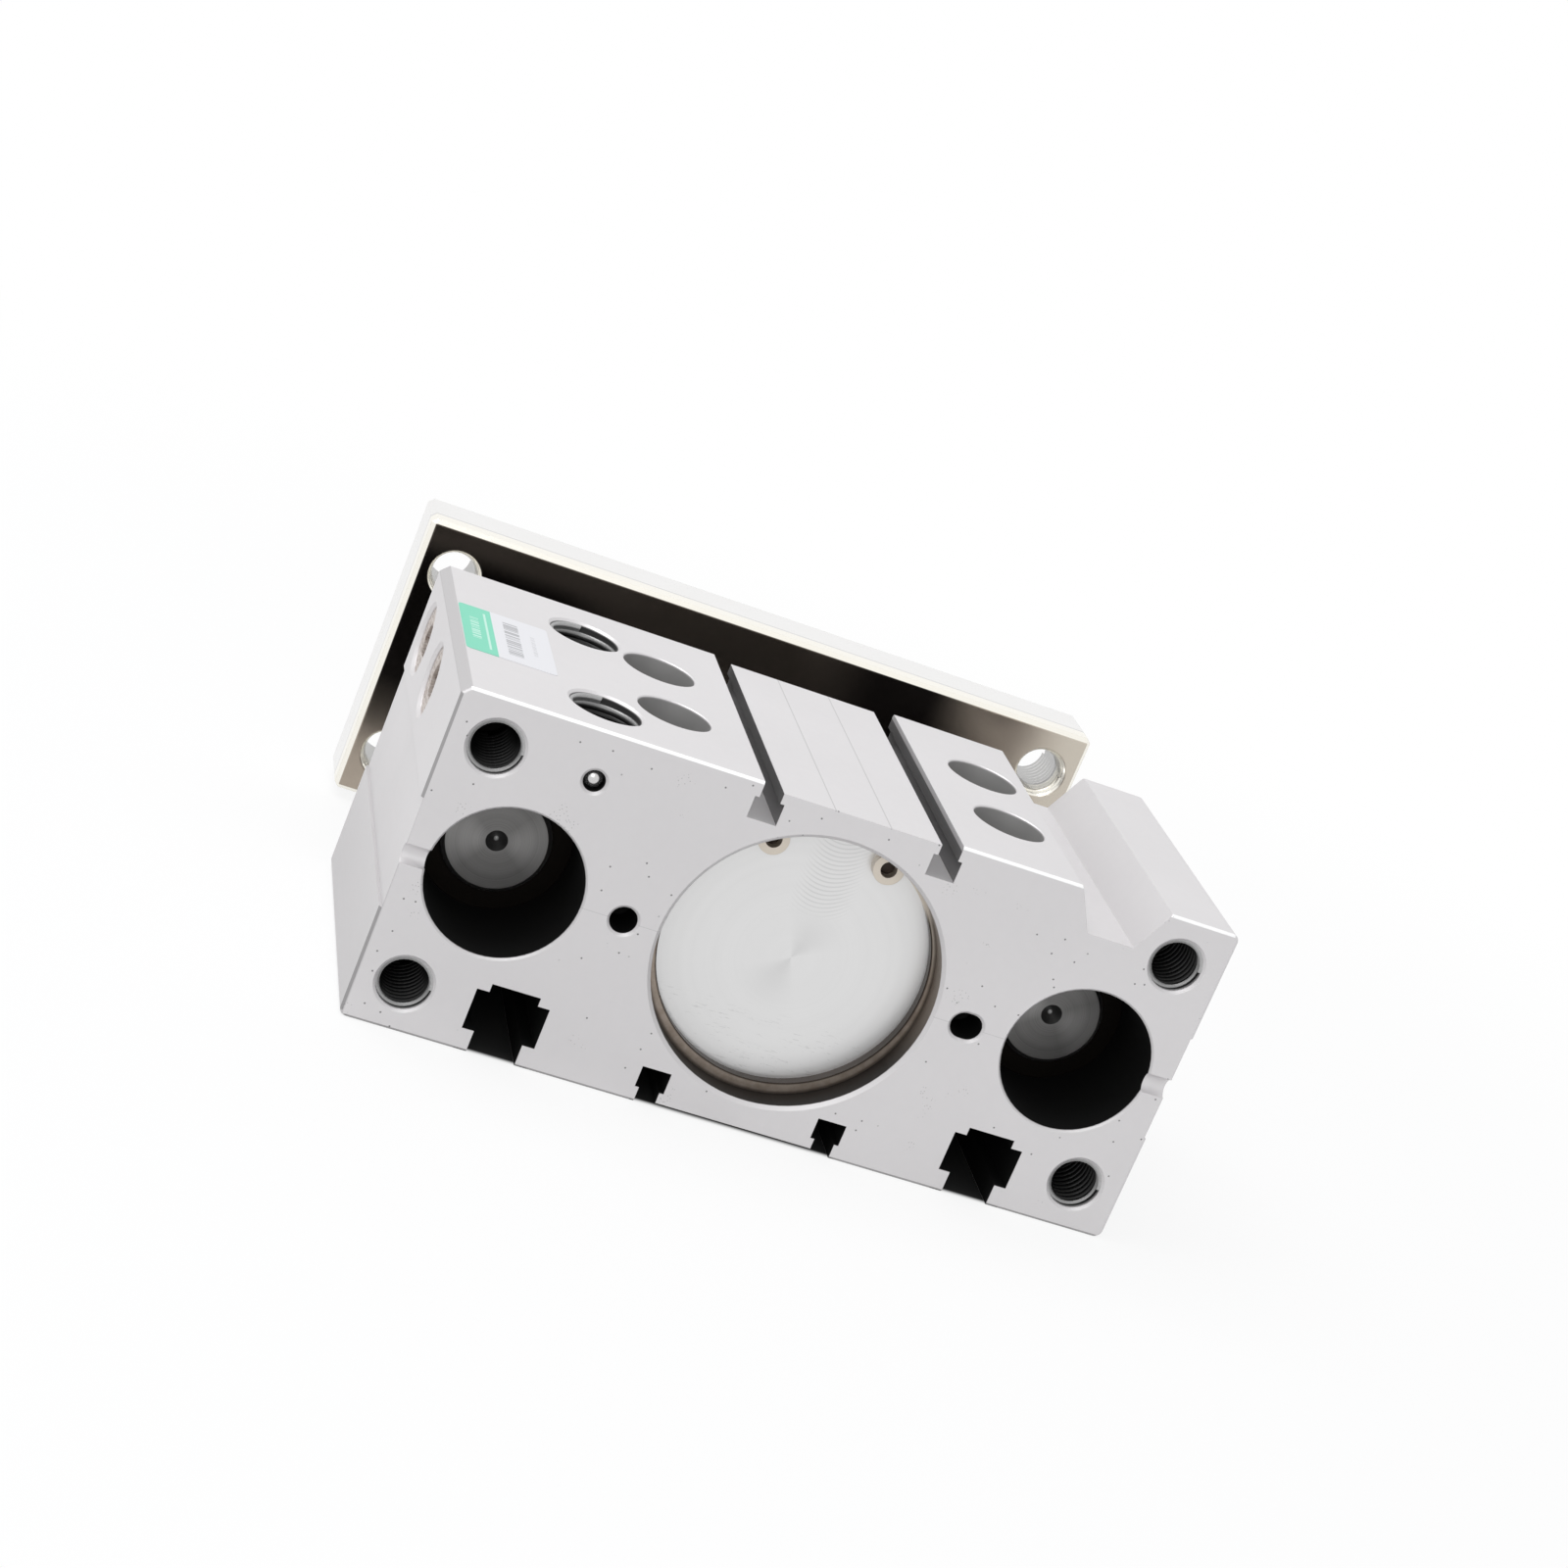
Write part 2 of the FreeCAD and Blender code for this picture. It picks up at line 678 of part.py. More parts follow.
def wear_ring():
    wear_y = groove_spans()[0]
    return ring_in_groove(bore_r - running_gap, bore_r - wear_ring_t, wear_y, wear_ring_w)


def magnet_ring():
    magnet_y = groove_spans()[1]
    outer = bore_r - magnet_sink
    return ring_in_groove(outer, outer - magnet_t, magnet_y, magnet_w)


def piston_seal():
    """Seal with a lip on each side of the groove that its back seats in."""
    seal_y = groove_spans()[2] + side_play
    width = seal_w - 2 * side_play
    lip_w = width / 4
    outer = bore_r - running_gap
    inner = bore_r - seal_t + seat_gap
    waist = outer - seal_lip_h
    return turned([(inner, seal_y), (waist, seal_y), (outer, seal_y + lip_w), (waist, seal_y + 2 * lip_w),
                   (outer, seal_y + width - lip_w), (waist, seal_y + width), (inner, seal_y + width)])


def piston_screw():
    seat_y = piston_y0 + low_head_h
    reach = piston_len - spigot_len - low_head_h + screw_grip
    return cap_screw(seat_y, m8_r, low_head_r, low_head_h, low_socket, reach, toward=-1)


def guide_rod_screw(side):
    seat_y = plate_y1 - head_sink - m8_head_h
    return cap_screw(seat_y, m8_r, m8_head_r, m8_head_h, m8_socket, screw_reach(m8_head_h), side * guide_x)


def piston_rod_screw():
    seat_y = plate_y1 - head_sink - m10_head_h
    return cap_screw(seat_y, m10_r, m10_head_r, m10_head_h, m10_socket, screw_reach(m10_head_h))


# ---------------------------------------------------------------- output
def all_pieces():
    pieces = {
        "body_block": body_block(),
        "rear_cap": rear_cap(),
        "rear_cap_oring": rear_cap_oring(),
        "rear_retaining_ring": rear_retaining_ring(),
        "rear_bumper": rear_bumper(),
        "rod_cover": rod_cover(),
        "rod_cover_oring": rod_cover_oring(),
        "rod_bush": rod_bush(),
        "rod_seal": rod_seal(),
        "front_retaining_ring": front_retaining_ring(),
        "front_bumper": front_bumper(),
        "side_plug_rear": side_plug(rear_side_port_y),
        "side_plug_front": side_plug(front_side_port_y),
        "ball_plug": ball_plug(),
        "end_plate": end_plate(),
        "piston_rod": piston_rod(),
        "piston": piston(),
        "wear_ring": wear_ring(),
        "magnet_ring": magnet_ring(),
        "piston_seal": piston_seal(),
        "piston_screw": piston_screw(),
        "piston_rod_screw": piston_rod_screw(),
    }
    for name, side in (("left", -1), ("right", 1)):
        pieces["guide_bush_rear_" + name] = guide_bush(side, rear_bush_depth)
        pieces["guide_bush_front_" + name] = guide_bush(side, front_bush_y1 - bush_len)
        pieces["guide_wiper_" + name] = guide_wiper(side)
        pieces["guide_retaining_ring_" + name] = guide_retaining_ring(side)
        pieces["guide_rod_" + name] = guide_rod(side)
        pieces["guide_rod_screw_" + name] = guide_rod_screw(side)
    return pieces


def main():
    os.makedirs("parts", exist_ok=True)
    for node, shape in all_pieces().items():
        shape.exportStep("parts/" + node + ".step")


main()
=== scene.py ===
import json
import math

import bmesh
import bpy
from mathutils import Matrix, Quaternion, Vector


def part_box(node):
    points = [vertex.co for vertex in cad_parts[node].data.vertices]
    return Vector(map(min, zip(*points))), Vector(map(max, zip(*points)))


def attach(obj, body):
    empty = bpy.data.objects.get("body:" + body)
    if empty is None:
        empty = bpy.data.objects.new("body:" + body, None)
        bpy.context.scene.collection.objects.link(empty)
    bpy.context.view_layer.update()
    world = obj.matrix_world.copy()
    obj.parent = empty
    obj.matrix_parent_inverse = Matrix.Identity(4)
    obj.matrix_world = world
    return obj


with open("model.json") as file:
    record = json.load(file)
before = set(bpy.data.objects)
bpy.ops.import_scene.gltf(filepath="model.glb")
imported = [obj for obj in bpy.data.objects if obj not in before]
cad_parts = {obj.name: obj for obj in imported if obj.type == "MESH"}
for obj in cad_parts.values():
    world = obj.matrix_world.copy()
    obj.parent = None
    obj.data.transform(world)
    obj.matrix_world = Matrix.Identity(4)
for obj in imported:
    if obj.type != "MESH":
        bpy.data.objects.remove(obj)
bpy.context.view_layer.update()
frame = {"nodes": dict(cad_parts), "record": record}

MM = 0.001

# ---------------------------------------------------------------- sizes taken from the frame
body_low, body_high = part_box("body_block")
plate_low, plate_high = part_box("end_plate")
cap_low, cap_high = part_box("rear_cap")
rod_low, rod_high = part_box("guide_rod_right")
bush_low, bush_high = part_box("guide_bush_rear_right")
ball_low, ball_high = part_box("ball_plug")
ring_low, ring_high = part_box("rear_retaining_ring")
mounts = {mount["name"]: mount for mount in frame["record"]["mounts"]}


def mount_mm(name):
    """Place of a mount, and half the spacing of its holes, in millimetres."""
    mount = mounts[name]
    dims = mount["dims"]
    return [value / MM for value in mount["pos_m"]], dims.get("spacing_x_mm", 0) / 2, dims.get("spacing_y_mm", 0) / 2


top_mm = body_high.z / MM
side_mm = body_high.x / MM
mouth_mm = cap_high.x / MM
cap_y_mm = cap_low.y / MM
ring_mm = ring_low.y / MM
rod_x_mm = (rod_low.x + rod_high.x) / 2 / MM
rod_end_mm = rod_low.y / MM
guide_bore_mm = (bush_high.x - bush_low.x) / 2 / MM
ball_mm = ((ball_low.x + ball_high.x) / 2 / MM, (ball_low.z + ball_high.z) / 2 / MM)
port_ys = sorted(mount_mm(name)[0][1] for name in ("top_port_rear", "top_port_front"))
port_mid_mm = sum(port_ys) / 2
port_half_mm = (port_ys[1] - port_ys[0]) / 2

# the rear retaining ring's eccentric opening and the holes in its two ears
ring_offset_mm = 0.86
ring_inner_mm = 24.74
ear_mm = [(23.92 * math.cos(math.radians(turn)), 23.92 * math.sin(math.radians(turn))) for turn in (120, 66)]


# ---------------------------------------------------------------- shader maths
class Signal:
    """A shader value that is added, multiplied and compared as a number is."""

    def __init__(self, finish, socket):
        self.finish = finish
        self.socket = socket

    def join(self, operation, left, right=0.0):
        node = self.finish.node("ShaderNodeMath", {"operation": operation}, {"Value": left, "Value_001": right})
        return Signal(self.finish, node.outputs[0])

    def __add__(self, other):
        return self.join("ADD", self, other)

    def __sub__(self, other):
        return self.join("SUBTRACT", self, other)

    def __rsub__(self, other):
        return self.join("SUBTRACT", other, self)

    def __mul__(self, other):
        return self.join("MULTIPLY", self, other)

    def __truediv__(self, other):
        return self.join("DIVIDE", self, other)

    def __pow__(self, other):
        return self.join("POWER", self, other)

    def __gt__(self, other):
        return self.join("GREATER_THAN", self, other)

    def __lt__(self, other):
        return self.join("LESS_THAN", self, other)

    def __abs__(self):
        return self.join("ABSOLUTE", self)

    def __neg__(self):
        return self.join("MULTIPLY", self, -1.0)

    __radd__ = __add__
    __rmul__ = __mul__

    def least(self, other):
        return self.join("MINIMUM", self, other)

    def most(self, other):
        return self.join("MAXIMUM", self, other)

    def sine(self):
        return self.join("SINE", self)

    def angle_with(self, other):
        return self.join("ARCTAN2", self, other)

    def rise(self, low, high):
        """0 below low, 1 above high, smooth between; low above high turns it round."""
        node = self.finish.node("ShaderNodeMapRange", {"interpolation_type": "SMOOTHSTEP"},
                                {"Value": self, "From Min": low, "From Max": high})
        return Signal(self.finish, node.outputs[0])


class Finish:
    """One surface finish: a principled shader fed by values, colours and signals."""

    def __init__(self, name, **plain):
        self.material = bpy.data.materials.new(name)
        self.material.use_nodes = True
        self.tree = self.material.node_tree
        self.tree.nodes.clear()
        self.shader = self.node("ShaderNodeBsdfPrincipled")
        output = self.node("ShaderNodeOutputMaterial")
        self.tree.links.new(self.shader.outputs[0], output.inputs[0])
        self.set(**plain)
        place = self.node("ShaderNodeTexCoord")
        scaled = self.node("ShaderNodeVectorMath", {"operation": "SCALE"},
                           {"Vector": Signal(self, place.outputs["Object"]), "Scale": 1 / MM})
        self.place = Signal(self, scaled.outputs[0])
        parts = self.node("ShaderNodeSeparateXYZ", inputs={"Vector": self.place})
        self.x, self.y, self.z = (Signal(self, socket) for socket in parts.outputs)

    def node(self, kind, settings=None, inputs=None):
        node = self.tree.nodes.new(kind)
        for name, value in (settings or {}).items():
            setattr(node, name, value)
        for key, value in (inputs or {}).items():
            self.feed(next(s for s in node.inputs if key in (s.identifier, s.name)), value)
        return node

    def feed(self, socket, value):
        if isinstance(value, Signal):
            self.tree.links.new(value.socket, socket)
        else:
            socket.default_value = value

    def set(self, **sockets):
        """Feeds the shader's sockets, named with underscores for spaces."""
        for name, value in sockets.items():
            self.feed(self.shader.inputs[name.replace("_", " ")], value)

    def stretched(self, cell):
        """The place in millimetres, divided by a cell size along each axis."""
        node = self.node("ShaderNodeVectorMath", {"operation": "DIVIDE"}, {"Vector": self.place, "Vector_001": cell})
        return Signal(self, node.outputs[0])

    def grain(self, cell, detail=2.0, rough=0.5, at=None):
        """Noise from 0 to 1 whose grains are about one cell in size."""
        at = self.stretched(cell) if at is None else at
        node = self.node("ShaderNodeTexNoise", None,
                         {"Vector": at, "Scale": 1.0, "Detail": detail, "Roughness": rough})
        return Signal(self, node.outputs[0])

    def line_grain(self, signal, cell, detail=2.0):
        """Noise that changes along one signal only, such as a radius."""
        node = self.node("ShaderNodeTexNoise", {"noise_dimensions": "1D"},
                         {"W": signal / cell, "Scale": 1.0, "Detail": detail})
        return Signal(self, node.outputs[0])

    def specks(self, across, up, cell, size):
        """Small round spots on a flat face, one to a square cell, each about size cells wide."""
        flat = self.node("ShaderNodeCombineXYZ", None, {"X": across / cell, "Y": up / cell})
        node = self.node("ShaderNodeTexVoronoi", {"feature": "F1", "voronoi_dimensions": "2D"},
                         {"Vector": Signal(self, flat.outputs[0]), "Scale": 1.0})
        return Signal(self, node.outputs["Distance"]).rise(size, size * 0.5)

    def mixed(self, factor, first, second):
        node = self.node("ShaderNodeMix", {"data_type": "RGBA"},
                         {"Factor_Float": factor, "A_Color": first, "B_Color": second})
        return Signal(self, node.outputs[2])

    def rounded(self, radius_mm, samples=4):
        """The normal with sharp edges softened."""
        node = self.node("ShaderNodeBevel", {"samples": samples}, {"Radius": radius_mm * MM})
        return Signal(self, node.outputs[0])

    def bump(self, height_mm, under=None, strength=1.0):
        """Relief from a height in millimetres."""
        inputs = {"Height": height_mm * MM, "Distance": 1.0, "Strength": strength}
        if under is not None:
            inputs["Normal"] = under
        node = self.node("ShaderNodeBump", None, inputs)
        return Signal(self, node.outputs[0])

    def reach(self, across, up):
        """Distance from an axis, given the offsets from it along two directions."""
        return (across * across + up * up) ** 0.5


def grey(level, warm=0.0):
    return (level * (1 + warm), level, level * (1 - warm), 1.0)


def tint(level):
    """The anodised coat's own grey, a trace to the pink side."""
    return (level * 1.012, level * 0.990, level, 1.0)


# ---------------------------------------------------------------- finishes
def anodised_block():
    """Clear-anodised extrusion: fine die lines, a milled rear face with nicks, painted shade on its hole, slot and
    recess walls and some edges, a painted highlight on its top rear edge.
    """
    f = Finish("clear_anodised_aluminium", Metallic=0.6)
    rear = f.y.rise(0.35, 0.12)
    inside = f.y.rise(0.25, 0.6)
    die_lines = f.grain((0.35, 60.0, 0.35), 3.0)
    milled = f.grain((2.2, 2.2, 2.2), 4.0, 0.6)
    cloud = f.grain((30.0, 30.0, 30.0), 2.0)
    fine = f.grain((0.16, 0.16, 0.16), 2.0, 0.6)
    nicks = f.specks(f.x, f.z, 5.0, 0.045) * f.grain((13.0, 13.0, 13.0)).rise(0.50, 0.54)
    dust = f.specks(f.x + 1.7, f.z, 0.8, 0.16) * f.grain((9.0, 9.0, 9.0)).rise(0.64, 0.68)
    line_x = abs(abs(f.x) - 5.3).rise(0.16, 0.06) * f.z.rise(top_mm - 1.3, top_mm - 1.0)
    line_z = abs(f.z).rise(0.1, 0.03) * rear
    marks = ((nicks * 0.85).most(dust * 0.4) * rear).most(line_x * 0.3).most(line_z * 0.2)

    # painted shade on the walls of the holes, slots and grooves, from the rear face inwards and from the top face
    # down
    _, bolt_x, bolt_z = mount_mm("rear_bolts")
    tapped = f.reach(abs(f.x) - bolt_x, abs(f.z) - bolt_z).rise(5.25, 5.15) * f.y.rise(0.6, 1.4)
    pin_mm, _, _ = mount_mm("rear_dowel_hole")
    pins = f.reach(abs(f.x) + pin_mm[0], f.z).rise(3.2, 3.1) * f.y.rise(0.5, 0.7)
    link = f.reach(f.x - ball_mm[0], f.z - ball_mm[1]).rise(2.4, 2.3) * f.y.rise(0.5, 0.7)
    guides = f.reach(abs(f.x) - rod_x_mm, f.z).rise(guide_bore_mm + 0.2, guide_bore_mm + 0.1) * inside
    low_slots = f.z.rise(-18.0, -18.2) * f.z.rise(-top_mm + 0.02, -top_mm + 0.1) * f.y.rise(0.05, 0.3)
    from_groove = abs(abs(f.x) - 17.0)
    slots = low_slots * abs(abs(f.x) - 46.0).rise(6.86, 6.8)
    grooves = low_slots * f.z.rise(-24.6, -24.9) * from_groove.rise(2.86, 2.8)
    # painted shade on the recessed strip of the bottom face between the grooves
    recess_shade = f.z.rise(-top_mm + 0.95, -top_mm + 0.86) * abs(f.x).rise(17.1, 17.0)
    # dark gathers the painted shade of the guide bores, slots, grooves, link, pin and tapped holes and the bottom
    # recess
    dark = guides.most(slots).most(grooves).most(link).most(pins).most(tapped).most(recess_shade)
    # painted shade on the side walls of the top sensor grooves
    groove_wall_shade = (from_groove.rise(1.85, 1.93) * from_groove.rise(2.86, 2.8) * f.z.rise(25.02, 25.12)
                    * f.z.rise(top_mm - 0.95, top_mm - 1.0) * f.y.rise(0.05, 0.2))
    top_bolts, screw_x, screw_y = mount_mm("top_bolts")
    below_top = f.z.rise(top_mm - 0.25, top_mm - 0.6) * f.z.rise(top_mm - 12.0, top_mm - 11.9)
    # painted shade on the walls of the top bolt counterbores
    counterbore_shade = f.reach(abs(f.x) - screw_x, abs(f.y - top_bolts[1]) - screw_y).rise(7.15, 7.1) * below_top
    port_x = mount_mm("top_port_rear")[0][0]
    # painted shade on the walls of the top ports
    ports = f.reach(f.x - port_x, abs(f.y - port_mid_mm) - port_half_mm).rise(6.8, 6.75) * below_top
    # painted shade on the wall of the rear cap's mouth
    mouth = f.reach(f.x, f.z).rise(mouth_mm + 0.35, mouth_mm + 0.1) * f.y.rise(0.6, 0.8) * f.y.rise(ring_mm, ring_mm - 0.1)

    # thin broken edges round the rear face: painted highlight on the top one, painted shade on the left and bottom
    # ones; painted shade on the bevelled long edge and, darker towards the bottom, on the left side
    low_edge, high_edge = top_mm - 0.58, top_mm - 0.44
    edge_highlight = (f.z - f.y).rise(low_edge, high_edge)
    rear_edge_shade = (-f.x - f.y).rise(side_mm - 0.56, side_mm - 0.44).most((-f.z - f.y).rise(low_edge, high_edge))
    bevel_shade = (f.z - f.x).rise(top_mm + side_mm - 1.72, top_mm + side_mm - 1.56)
    left_side_shade = f.x.rise(-side_mm + 0.75, -side_mm + 0.6) * f.z.rise(14.0, -32.0)

    shade = f.mixed(cloud * 0.5 + milled * 0.3, tint(0.635), tint(0.72))
    shade = f.mixed(left_side_shade * 0.45, shade, tint(0.40))
    shade = f.mixed(bevel_shade * 0.8, shade, tint(0.47))
    shade = f.mixed(edge_highlight, shade, grey(0.95))
    shade = f.mixed(rear_edge_shade * 0.75, shade, tint(0.25))
    shade = f.mixed(counterbore_shade, shade, grey(0.42, 0.01))
    shade = f.mixed(groove_wall_shade * 0.9, shade, tint(0.13))
    # painted shade on the mouth wall: brown above, near black towards the bottom
    mouth_wall_shade = f.mixed(f.z.rise(4.0, -14.0), (0.21, 0.175, 0.145, 1), (0.012, 0.010, 0.009, 1))
    shade = f.mixed(mouth, shade, mouth_wall_shade)
    shade = f.mixed(marks, shade, grey(0.12))
    # painted near-black shade in the holes, slots and recess, and nearly as dark in the ports
    f.set(Base_Color=f.mixed(dark.most(ports * 0.93), shade, grey(0.006)))
    f.set(Roughness=(0.40 + fine * 0.12 + die_lines * 0.05).most(dark * 0.7))
    relief = die_lines * 0.004 * (1 - rear) + fine * 0.003 + milled * rear * 0.006 - marks * 0.05
    f.set(Normal=f.bump(relief, f.rounded(0.2)))
    return f.material


def turned_cap():
    """Bright turned aluminium: faint rings, a painted reflection fan at the centre, a patch of chatter arcs and
    painted shadow behind the ring's ear holes.
    """
    f = Finish("bright_turned_aluminium", Metallic=0.75)
    radius = f.reach(f.x, f.z)
    rings = f.line_grain(radius, 0.14, 3.0)
    broad = f.line_grain(radius, 2.5, 2.0)
    turn = f.z.angle_with(f.x)
    # painted reflection: the fan of light a turned face throws, laid in as darker lobes
    fan = (turn * 2.0 - 0.9).sine().most(0.0) * radius.rise(13.0, 1.0)
    cloud = f.grain((14.0, 14.0, 14.0), 3.0)
    arcs = ((f.z - f.x * f.x / 13.0) * 7.4).sine().rise(0.2, 0.9)
    arc_patch = abs(f.x - 1.0).rise(6.5, 2.0) * f.z.rise(7.0, 12.0) * f.z.rise(25.5, 23.0)
    scuffs = f.grain((3.0, 3.0, 0.4), 3.0, 0.7).rise(0.60, 0.68) * f.z.rise(-9.0, -15.0)
    # marks holds real chatter arcs, scuffs and rings, and the painted reflection fan
    marks = (arcs * arc_patch * 0.30).most(scuffs * 0.35).most(fan * 0.22).most(rings.rise(0.6, 0.8) * 0.08)
    # painted shadow on the cap's face behind the retaining ring's ear holes
    ear_hole_shadow = f.y.rise(cap_y_mm + 0.3, cap_y_mm + 0.2) * (
        f.reach(f.x - ear_mm[0][0], f.z - ear_mm[0][1]).rise(2.1, 1.7).most(
            f.reach(f.x - ear_mm[1][0], f.z - ear_mm[1][1]).rise(2.1, 1.7)))
    shade = f.mixed(rings * 0.25 + broad * 0.3 + cloud * 0.3, grey(0.72, 0.003), grey(0.83, 0.002))
    shade = f.mixed(marks, shade, grey(0.40))
    f.set(Base_Color=f.mixed(ear_hole_shadow, shade, (0.03, 0.022, 0.018, 1)))
    f.set(Roughness=0.30 + rings * 0.10)
    f.set(Normal=f.bump(rings * 0.003, f.rounded(0.2)))
    return f.material


def spring_steel():
    """Phosphated spring steel, brown, with painted light paling it towards its ears and painted shade dark along its
    inner edge and outer rim.
    """
    f = Finish("phosphated_spring_steel", Metallic=0.7)
    cloud = f.grain((3.0, 3.0, 3.0), 4.0, 0.65)
    fine = f.grain((0.25, 0.25, 0.25), 2.0)
    radius = f.reach(f.x, f.z)
    edge = f.reach(f.x, f.z - ring_offset_mm) - ring_inner_mm
    at_mouth = radius.rise(mouth_mm - 4.5, mouth_mm - 4.0)
    # painted shade along the ring's inner edge and outer rim inside the mouth
    edges = edge.rise(0.45, 0.1).most(radius.rise(mouth_mm - 0.7, mouth_mm - 0.1) * 0.7) * at_mouth
    tan = f.mixed(cloud.rise(0.3, 0.7), (0.30, 0.245, 0.20, 1), (0.42, 0.355, 0.30, 1))
    # painted light: paler towards the top of the ring
    tan = f.mixed(f.z.rise(2.0, 16.0), tan, (0.66, 0.60, 0.52, 1))
    f.set(Base_Color=f.mixed(edges * f.z.rise(18.0, 14.0), tan, (0.045, 0.034, 0.027, 1)))
    f.set(Roughness=0.30 + fine * 0.16)
    f.set(Normal=f.bump(fine * 0.004, f.rounded(0.15)))
    return f.material


def ground_rod():
    """Ground and polished steel; the guide rods' turned ends are dark with rings round the centre mark and a painted
    reflection fan.
    """
    f = Finish("ground_steel", Metallic=0.9)
    radius = f.reach(abs(f.x) - rod_x_mm, f.z)
    end = f.y.rise(rod_end_mm + 2.4, rod_end_mm + 2.2) * f.y.rise(rod_end_mm - 1.0, rod_end_mm - 0.5) * radius.rise(10.2, 10.1)
    rings = f.line_grain(radius, 0.22, 3.0)
    broad = f.line_grain(radius, 1.3, 1.0)
    turn = f.z.angle_with(abs(f.x) - rod_x_mm)
    # painted reflection: the fan of light a turned end throws
    fan = (turn * 2.0 + 1.9).sine().most(0.0) * radius.rise(1.0, 4.0)
    cone = radius.rise(2.1, 1.9)
    tip = radius.rise(0.55, 0.3)
    grind = f.grain((40.0, 0.12, 40.0), 2.0)
    turned = f.mixed(rings * 0.3 + broad * 0.35 + fan * 0.5, grey(0.12, 0.02), grey(0.32, 0.015))
    turned = f.mixed(cone * 0.6, turned, grey(0.05))
    turned = f.mixed(tip, turned, grey(0.55))
    f.set(Base_Color=f.mixed(end, grey(0.62, 0.008), turned))
    f.set(Roughness=0.14 + grind * 0.05 + end * 0.26)
    f.set(Normal=f.bump(rings * end * 0.01 + grind * (1 - end) * 0.0006, f.rounded(0.15)))
    return f.material


def nickel_plate():
    """Nickel-plated steel: warm and glossy, with a painted reflection on its inner face, dark over the middle and tan
    at its ends.
    """
    f = Finish("nickel_plated_steel", Metallic=0.9)
    wave = f.grain((18.0, 18.0, 18.0), 2.0)
    fine = f.grain((0.4, 0.4, 0.4), 2.0)
    stain = f.grain((7.0, 7.0, 7.0), 4.0, 0.7)
    depth = f.y - plate_low.y / MM
    inner = depth.rise(0.2, 0.05)
    # painted reflection on the inner face: dark where it would mirror the unlit gap and the body's front face, tan
    # and pale towards its ends
    black, brown = (0.012, 0.010, 0.009, 1), (0.085, 0.071, 0.059, 1)
    tan = f.mixed(stain, (0.33, 0.28, 0.23, 1), (0.47, 0.41, 0.34, 1))
    shade = f.mixed(f.x.rise(8.0, 26.0).most(f.z.rise(27.0, 22.0) * f.x.rise(-25.0, -45.0)), brown, black)
    shade = f.mixed(f.z.rise(-3.0, -20.0) * f.x.rise(-50.0, -60.0), shade, tan)
    shade = f.mixed(f.x.rise(36.0, 52.0), shade, tan)
    shade = f.mixed(f.x.rise(54.0, 70.0) * 0.8, shade, (0.64, 0.59, 0.51, 1))
    rim = f.mixed(depth.rise(4.6, 4.2), grey(0.86, 0.004), (0.95, 0.925, 0.85, 1))
    rim = f.mixed(abs(depth - 4.8).rise(0.5, 0.2) * 0.6, rim, grey(0.55, 0.01))
    rim = f.mixed(stain * 0.15, rim, (0.62, 0.585, 0.53, 1))
    f.set(Base_Color=f.mixed(inner, rim, shade))
    f.set(Roughness=0.18 + wave * 0.06 + fine * 0.04)
    f.set(Normal=f.bump(wave * 0.02 + fine * 0.0012, f.rounded(0.3)))
    return f.material


def blackened_screw():
    f = Finish("blackened_steel", Metallic=0.7)
    cloud = f.grain((1.6, 1.6, 1.6), 3.0, 0.6)
    f.set(Base_Color=f.mixed(cloud, (0.10, 0.085, 0.075, 1), (0.26, 0.22, 0.19, 1)))
    f.set(Roughness=0.34 + cloud * 0.14)
    f.set(Normal=f.bump(cloud * 0.01, f.rounded(0.2)))
    return f.material


def sealed_plug():
    """Steel plug with pale thread sealant smeared over it."""
    f = Finish("plug_with_sealant", Metallic=0.45)
    cloud = f.grain((1.1, 1.1, 1.1), 3.0, 0.6)
    streak = f.grain((3.0, 2.0, 0.5), 3.0, 0.6)
    shade = f.mixed(cloud.rise(0.3, 0.55), (0.20, 0.155, 0.13, 1), (0.50, 0.44, 0.40, 1))
    f.set(Base_Color=f.mixed(streak.rise(0.45, 0.6) * 0.6, shade, (0.74, 0.70, 0.67, 1)))
    f.set(Roughness=0.38 + cloud * 0.2)
    f.set(Normal=f.bump(cloud * 0.05, f.rounded(0.2)))
    return f.material


def bearing_bronze():
    """Oil-soaked sintered bronze, its near-black colour painted shade deep in its bore."""
    f = Finish("bronze_painted_bore_shade", Metallic=0.85)
    cloud = f.grain((2.0, 2.0, 2.0), 3.0)
    pores = f.grain((0.35, 0.35, 0.35), 2.0)
    # painted shade: near black deep in the guide bore
    f.set(Base_Color=f.mixed(cloud, (0.004, 0.003, 0.002, 1), (0.010, 0.007, 0.005, 1)))
    f.set(Roughness=0.42 + pores * 0.2)
    f.set(Normal=f.bump(pores * -0.02, f.rounded(0.15)))
    return f.material


def rubber():
    f = Finish("black_rubber", Metallic=0.0)
    fine = f.grain((0.3, 0.3, 0.3), 3.0)
    f.set(Base_Color=f.mixed(fine, grey(0.012), grey(0.024)))
    f.set(Roughness=0.55 + fine * 0.2)
    f.set(Normal=f.bump(fine * 0.01, f.rounded(0.1)))
    return f.material


def filled_plastic(name, dark, light):
    f = Finish(name, Metallic=0.0)
    cloud = f.grain((0.8, 0.8, 0.8), 3.0)
    f.set(Base_Color=f.mixed(cloud, dark, light))
    f.set(Roughness=0.45 + cloud * 0.2)
    f.set(Normal=f.bump(cloud * 0.006, f.rounded(0.1)))
    return f.material


